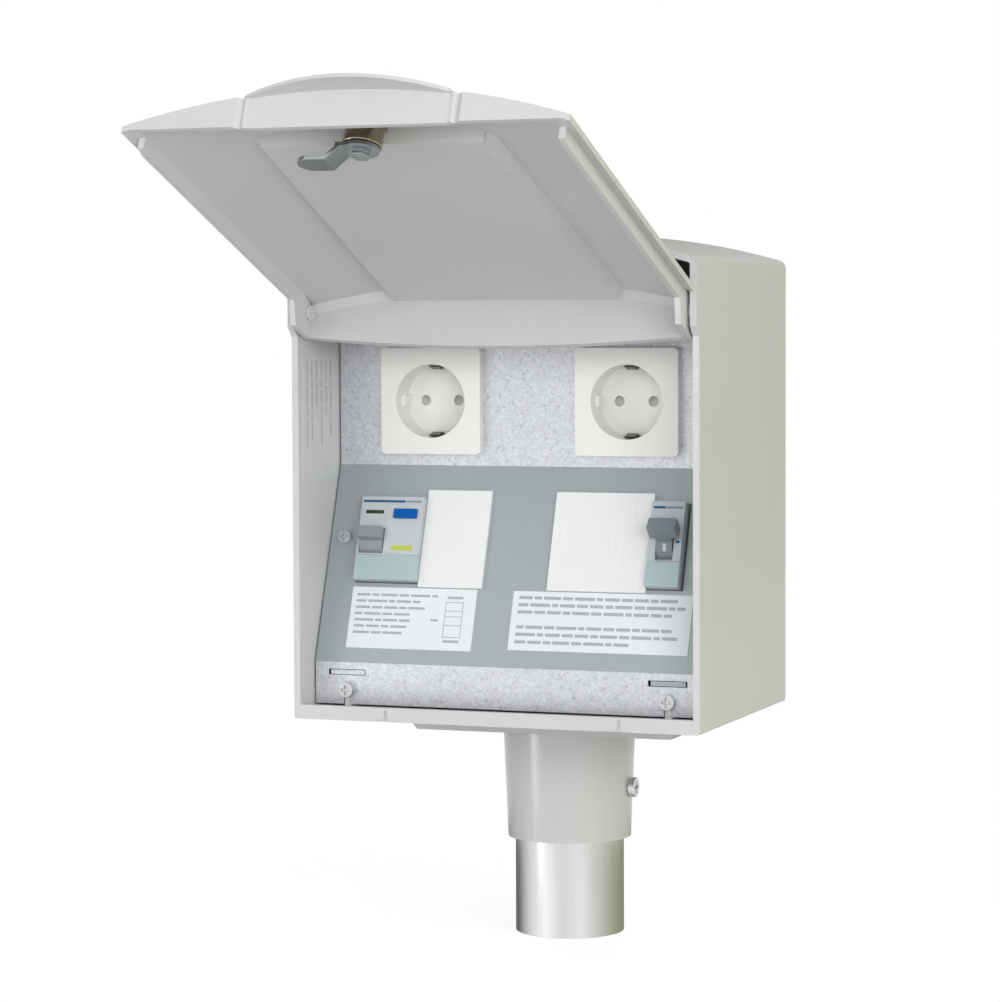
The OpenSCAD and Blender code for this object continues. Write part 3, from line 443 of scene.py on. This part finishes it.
# Bars in place of print, in mm: rows are a right end and a distance down the slope
WORDS = (7.5, 4.2, 9.4, 5.6, 11.0, 3.4, 8.2, 6.1)
GAP, SHORTEST = 1.1, 2.5
LEFT_START, LEFT_TALL = -88.5, 1.3
LEFT_ROWS = ((-39.4, 72.0), (-51.5, 75.4), (-46.4, 78.9), (-57.0, 82.4), (-54.6, 85.8),
             (-56.0, 89.2), (-59.6, 92.7))
RIGHT_START, RIGHT_TALL = 4.0, 1.7
RIGHT_ROWS = ((93.0, 71.1), (96.0, 75.0), (89.0, 78.9), (90.5, 87.0), (95.5, 91.0), (68.5, 95.1))
LINE = 0.4
FRAME_X0, FRAME_X1 = -37.0, -26.8
FRAME_TOP, FRAME_END = 76.0, 94.6
FRAME_BARS = (75.6, 80.4, 83.4, 88.2, FRAME_END)
CAPTIONS = [(-36.4, -27.4, 72.6, 73.9), (-36.4, -27.4, 96.4, 97.7), (-44.6, -40.4, 85.2, 86.4)]
SIDE_ROWS = (1.0, 0.9, 0.55, 0.95, 0.7, 0.85)
SIDE_TOP, SIDE_LONG = 190.0, 48.0
SIDE_Y, SIDE_PITCH, SIDE_TALL = 10.5, 6.2, 1.3


def word_rules(start, end, first):
    """Short bars with gaps between two ends, as a printed row looks from a step away."""
    spans, at, i = [], start, first
    while at < end - SHORTEST:
        stop = min(at + WORDS[i % len(WORDS)], end)
        spans.append((at, stop))
        at, i = stop + GAP, i + 1
    return spans


def printed_rows(x0, rows, height):
    """Rows of bars on the slope from one left end, as spans."""
    return [(a, b, s, s + height) for i, (x1, s) in enumerate(rows)
            for a, b in word_rules(x0, x1, 3 * i)]


left_print = printed_rows(LEFT_START, LEFT_ROWS, LEFT_TALL)
left_print += [(FRAME_X0, FRAME_X1, s, s + LINE) for s in FRAME_BARS]
left_print += [(x, x + LINE, FRAME_TOP, FRAME_END) for x in (FRAME_X0, FRAME_X1 - LINE)]
left_print += CAPTIONS
right_print = printed_rows(RIGHT_START, RIGHT_ROWS, RIGHT_TALL)
slope_plates("label_left_rules", left_print, LABEL_TOP, INK, "rule")
slope_plates("label_right_rules", right_print, LABEL_TOP, INK, "rule")

bm = bmesh.new()
for i, share in enumerate(SIDE_ROWS):
    y0 = SIDE_Y + SIDE_PITCH * i
    y1 = y0 + SIDE_TALL
    for a, b in word_rules(0, SIDE_LONG * share, 2 * i):
        low, high = SIDE_TOP - b, SIDE_TOP - a
        around = ((y0, low), (y1, low), (y1, high), (y0, high))
        plate_into(bm, [box_point(WALL_X + LABEL_TOP, y, z) for y, z in around], INK)
finish_piece("label_side_rules", bm, "rule", "base")

# Tabs that fill the slots of the lower lip, short of the ends
SLOT_X, SLOT_Z, SLOT_HALF = 89.7, 23.6, 1.25
TAB_BACK, TAB_THICK, TAB_IN = 0.9, 0.55, 0.02
# The right tab takes the slope's darker sheet, which is painted shade
TABS = (("lip_tab_left", -SLOT_X - 9.6, -SLOT_X + 10.2, "panel"),
        ("lip_tab_right", SLOT_X - 9.4, SLOT_X + 9.8, "slope"))
for name, x0, x1, mat in TABS:
    bm = bmesh.new()
    low, high = SLOT_Z - SLOT_HALF, SLOT_Z + SLOT_HALF
    around = ((x0, low), (x1, low), (x1, high), (x0, high))
    plate_into(bm, [box_point(x, LIP_Y + TAB_BACK, z) for x, z in around], TAB_THICK, TAB_IN)
    finish_piece(name, bm, mat, "base")

# Shutters behind the pin holes, each a leaf that slopes towards its middle; their grey, darker than
# the socket white, is painted shade in the holes
SOCKETS = (-53.5, 57.1)
PIN, PIN_R, PIN_Z, PIN_Y = 9.5, 2.7, 167.7, 68.6
LEAF_SIDES, LEAF_TILT, LEAF_DEEP, LEAF_CROWN = 24, 0.35, 1.9, 0.35
bm = bmesh.new()
for x0 in [middle + side * PIN for middle in SOCKETS for side in (-1, 1)]:
    front, back = [], []
    for i in range(LEAF_SIDES):
        a = 2 * math.pi * i / LEAF_SIDES
        dx, dz = PIN_R * math.cos(a), PIN_R * math.sin(a)
        front.append(bm.verts.new(box_point(x0 + dx, PIN_Y + LEAF_TILT * dz, PIN_Z + dz)))
        back.append(bm.verts.new(box_point(x0 + dx, PIN_Y + LEAF_DEEP, PIN_Z + dz)))
    tip = bm.verts.new(box_point(x0, PIN_Y - LEAF_CROWN, PIN_Z))
    bm.faces.new(back[::-1])
    for i in range(LEAF_SIDES):
        k = (i + 1) % LEAF_SIDES
        bm.faces.new((front[i], front[k], tip))
        bm.faces.new((back[i], back[k], front[k], front[i]))
finish_piece("socket_shutters", bm, "shutter", "base")

# Light mark on the breaker's lever, bent round its drum
MARK_X = (82.3, 84.2)
MARK_RADII = (LEVER_R - 0.05, LEVER_R + 0.08)
MARK_FROM, MARK_TURN, MARK_STEPS = 2, 26, 6
bm = bmesh.new()
rows = []
for r in MARK_RADII:
    for x in MARK_X:
        row = []
        for i in range(MARK_STEPS + 1):
            a = math.radians(MARK_FROM + MARK_TURN * i / MARK_STEPS)
            s, n = MCB_LEVER_S + r * math.sin(a), LEVER_N + r * math.cos(a)
            row.append(bm.verts.new(slope_point(x, s, n)))
        rows.append(row)
for a, b in ((2, 3), (1, 0), (0, 2), (3, 1)):
    for i in range(MARK_STEPS):
        bm.faces.new((rows[a][i], rows[b][i], rows[b][i + 1], rows[a][i + 1]))
for i in (0, MARK_STEPS):
    bm.faces.new((rows[0][i], rows[1][i], rows[3][i], rows[2][i]))
finish_piece("mcb_toggle_mark", bm, "face", "mcb_lever")


# Floor and studio, in metres and degrees
WHITE = (1, 1, 1)
FLOOR_HALF, FLOOR_Z = 6, -0.0006
FLOOR_NEAR, FLOOR_FAR = 0.08, 0.4
FLOOR_SEEN, FLOOR_GLOW, FLOOR_LIT = 0.42, 0.76, 0.6
SKY_TINT, SKY_LIGHT = (0.98, 0.99, 1.0), 0.25


def any_seen(tree):
    """One for what the camera sees directly, in gloss or through clear plastic."""
    path = tree.nodes.new("ShaderNodeLightPath")
    value = path.outputs["Is Camera Ray"]
    for other in ("Is Glossy Ray", "Is Transmission Ray"):
        either = tree.nodes.new("ShaderNodeMath")
        either.operation = "MAXIMUM"
        tree.links.new(value, either.inputs[0])
        tree.links.new(path.outputs[other], either.inputs[1])
        value = either.outputs[0]
    return value


def stage_material(name):
    m, tree, shader = new_material(name)
    tree.nodes.remove(shader)
    return m, tree, tree.nodes["Material Output"].inputs["Surface"]


def emitter(tree, col, strength):
    node = tree.nodes.new("ShaderNodeEmission")
    node.inputs["Color"].default_value = (*col, 1)
    node.inputs["Strength"].default_value = strength
    return node.outputs[0]


def matt(tree, grey):
    node = tree.nodes.new("ShaderNodeBsdfDiffuse")
    node.inputs["Color"].default_value = (grey, grey, grey, 1)
    return node.outputs[0]


def blend_shaders(tree, fac, a, b):
    node = tree.nodes.new("ShaderNodeMixShader")
    tree.links.new(fac, node.inputs[0])
    tree.links.new(a, node.inputs[1])
    tree.links.new(b, node.inputs[2])
    return node.outputs[0]


def floor_material():
    """Pale floor that keeps the shadow near the post and runs out into the white background."""
    m, tree, surface = stage_material("floor_white")
    place = tree.nodes.new("ShaderNodeNewGeometry")
    far = tree.nodes.new("ShaderNodeVectorMath")
    far.operation = "LENGTH"
    tree.links.new(place.outputs["Position"], far.inputs[0])
    fade = tree.nodes.new("ShaderNodeMapRange")
    fade.interpolation_type = "SMOOTHSTEP"
    fade.inputs["From Min"].default_value = FLOOR_NEAR
    fade.inputs["From Max"].default_value = FLOOR_FAR
    tree.links.new(far.outputs["Value"], fade.inputs["Value"])
    near = tree.nodes.new("ShaderNodeAddShader")
    tree.links.new(matt(tree, FLOOR_SEEN), near.inputs[0])
    tree.links.new(emitter(tree, WHITE, FLOOR_GLOW), near.inputs[1])
    away = emitter(tree, WHITE, 1.0)
    seen = blend_shaders(tree, fade.outputs["Result"], near.outputs[0], away)
    tree.links.new(blend_shaders(tree, any_seen(tree), matt(tree, FLOOR_LIT), seen), surface)
    return m


def quad(name, half_w, half_h, mat):
    around = ((-half_w, -half_h, 0), (half_w, -half_h, 0), (half_w, half_h, 0), (-half_w, half_h, 0))
    bm = bmesh.new()
    bm.faces.new([bm.verts.new(v) for v in around])
    obj = add_object(name, mesh_from(name, bm, mat))
    return obj


def aim(obj, at, to):
    obj.location = at
    obj.rotation_euler = (Vector(to) - Vector(at)).to_track_quat("-Z", "Y").to_euler()


floor = quad("floor", FLOOR_HALF, FLOOR_HALF, floor_material())
floor.location = (0, 0, FLOOR_Z)


# Boards beside the stage and mats on the floor, seen only in gloss
FLAG_FAR, FLAG_Z, FLAG_HALF_H = 1.5, 0.3, 1.2
FLAGS = (("flag_left", -125, 1.4, (0.1, 0.1, 0.1)), ("flag_right", 118, 1.9, (0.38, 0.4, 0.22)))
VIEW_AZ = 20.7
MAT_STEPS = 60
TUBE_SHADES = [(-90, (0.15, 0.15, 0.15)), (-70, (0.18, 0.18, 0.18)), (-50, (0.9, 0.9, 0.9)),
               (-28, (1.45, 1.45, 1.45)), (-10, (1.0, 1.0, 1.0)), (10, (1.22, 1.22, 1.22)),
               (18, (1.03, 1.03, 1.03)), (50, (0.5, 0.52, 0.36)), (90, (0.2, 0.21, 0.12))]
COLLAR_SHADES = [(-36, (2, 2, 2)), (-33, (11, 11, 11)), (-30, (2, 2, 2))]
TUBE_R, COLLAR_R = 0.0302, 0.037


def gloss_only(obj):
    obj.visible_camera = False
    obj.visible_diffuse = False
    obj.visible_transmission = False
    obj.visible_shadow = False


def beside(turn, far, z):
    """A place on the stage by its turn from the front, clockwise from above, and its distance."""
    a = math.radians(turn)
    return (far * math.sin(a), -far * math.cos(a), z)


def card(name, at, half_w, half_h, col):
    """A board beside the stage that shows only in gloss, as a photographer's flag does."""
    m, tree, surface = stage_material(name + "_board")
    tree.links.new(emitter(tree, col, 1.0), surface)
    obj = quad(name, half_w, half_h, m)
    aim(obj, at, (0, 0, at[2]))
    gloss_only(obj)


def shade_at(stops, turn):
    """The shade at a turn between stops."""
    for (a, low), (b, high) in zip(stops, stops[1:]):
        if turn <= b:
            k = (turn - a) / (b - a)
            return [u + (v - u) * k for u, v in zip(low, high)]
    return list(stops[-1][1])


def gloss_mat(name, stops, radius, near, far, z):
    """A flat fan on the floor in front of a round post, shaded by the turn off the view."""
    m, tree, surface = stage_material(name + "_glow")
    tint = tree.nodes.new("ShaderNodeAttribute")
    tint.attribute_name = "glow"
    glow = tree.nodes.new("ShaderNodeEmission")
    tree.links.new(tint.outputs["Color"], glow.inputs["Color"])
    tree.links.new(glow.outputs[0], surface)
    first, last = stops[0][0], stops[-1][0]
    turns = [first + (last - first) * i / MAT_STEPS for i in range(MAT_STEPS + 1)]
    bm = bmesh.new()
    ribs = []
    for turn in turns:
        foot = Vector(beside(VIEW_AZ + turn, radius, z))
        ends = [foot + Vector(beside(VIEW_AZ + 2 * turn, reach, 0)) for reach in (near, far)]
        ribs.append([bm.verts.new(end) for end in ends])
    for one, two in zip(ribs, ribs[1:]):
        bm.faces.new((one[0], one[1], two[1], two[0]))
    mesh = mesh_from(name, bm, m)
    tints = mesh.color_attributes.new("glow", "FLOAT_COLOR", "POINT")
    for i, turn in enumerate(turns):
        for k in (2 * i, 2 * i + 1):
            tints.data[k].color = (*shade_at(stops, turn), 1)
    obj = add_object(name, mesh)
    gloss_only(obj)


for name, turn, half_w, col in FLAGS:
    card(name, beside(turn, FLAG_FAR, FLAG_Z), half_w, FLAG_HALF_H, col)
gloss_mat("floor_mat_tube", TUBE_SHADES, TUBE_R, 0.0, 0.37, 0.0)
gloss_mat("floor_mat_collar", COLLAR_SHADES, COLLAR_R, 0.38, 0.75, -0.0003)

world = bpy.data.worlds.new("studio")
scene.world = world
world.use_nodes = True
sky = world.node_tree


def background(col, strength):
    node = sky.nodes.new("ShaderNodeBackground")
    node.inputs["Color"].default_value = (*col, 1)
    node.inputs["Strength"].default_value = strength
    return node.outputs[0]


sky_out = blend_shaders(sky, any_seen(sky), background(SKY_TINT, SKY_LIGHT), background(WHITE, 1.0))
sky.links.new(sky_out, sky.nodes["World Output"].inputs["Surface"])

# Lights: name, place, width and height in metres, power in watts and colour
TARGET = (0, -0.1, 0.25)
LIGHTS = (
    ("front", (1.3, -2.2, 0.45), (2.0, 1.4), 43, WHITE),
    ("key", (-1.6, -1.9, 0.45), (2.0, 1.4), 22, WHITE),
    ("top", (0.0, -0.3, 2.5), (2.4, 2.4), 3, WHITE),
    ("right", (2.0, -1.2, 1.3), (1.4, 1.4), 14, WHITE),
    ("side", (2.1, 0.5, 0.5), (1.8, 1.8), 6, (1, 1, 0.05)),
    ("back", (-1.2, 2.2, 1.0), (2.4, 1.8), 24, WHITE),
)
for name, at, size, power, col in LIGHTS:
    data = bpy.data.lights.new(name, "AREA")
    data.shape = "RECTANGLE"
    data.size, data.size_y = size
    data.energy = power
    data.color = col
    lamp = bpy.data.objects.new(name, data)
    aim(lamp, at, TARGET)
    lamp.visible_camera = False
    lamp.visible_glossy = False
    scene.collection.objects.link(lamp)

# Camera, solved from the photograph's straight edges
FOCAL_PX, FRAME_PX, SENSOR = 3247.0, 1000.0, 36.0
EYE = (0.5974, -1.6867, 0.3379)
AZ, PITCH, ROLL = math.radians(20.72), math.radians(3.19), math.radians(-0.23)
forward = Vector((-math.sin(AZ) * math.cos(PITCH), math.cos(AZ) * math.cos(PITCH),
                  -math.sin(PITCH)))
level = Vector((math.cos(AZ), math.sin(AZ), 0))
upright = level.cross(forward)
across = level * math.cos(ROLL) + upright * math.sin(ROLL)
up = upright * math.cos(ROLL) - level * math.sin(ROLL)
cam_data = bpy.data.cameras.new("camera")
cam_data.sensor_fit = "HORIZONTAL"
cam_data.sensor_width = SENSOR
cam_data.lens = FOCAL_PX * SENSOR / FRAME_PX
cam = bpy.data.objects.new("camera", cam_data)
turn = Matrix((across, up, -forward)).transposed().to_4x4()
cam.matrix_world = Matrix.Translation(EYE) @ turn
scene.collection.objects.link(cam)
scene.camera = cam
scene.view_settings.view_transform = "Standard"
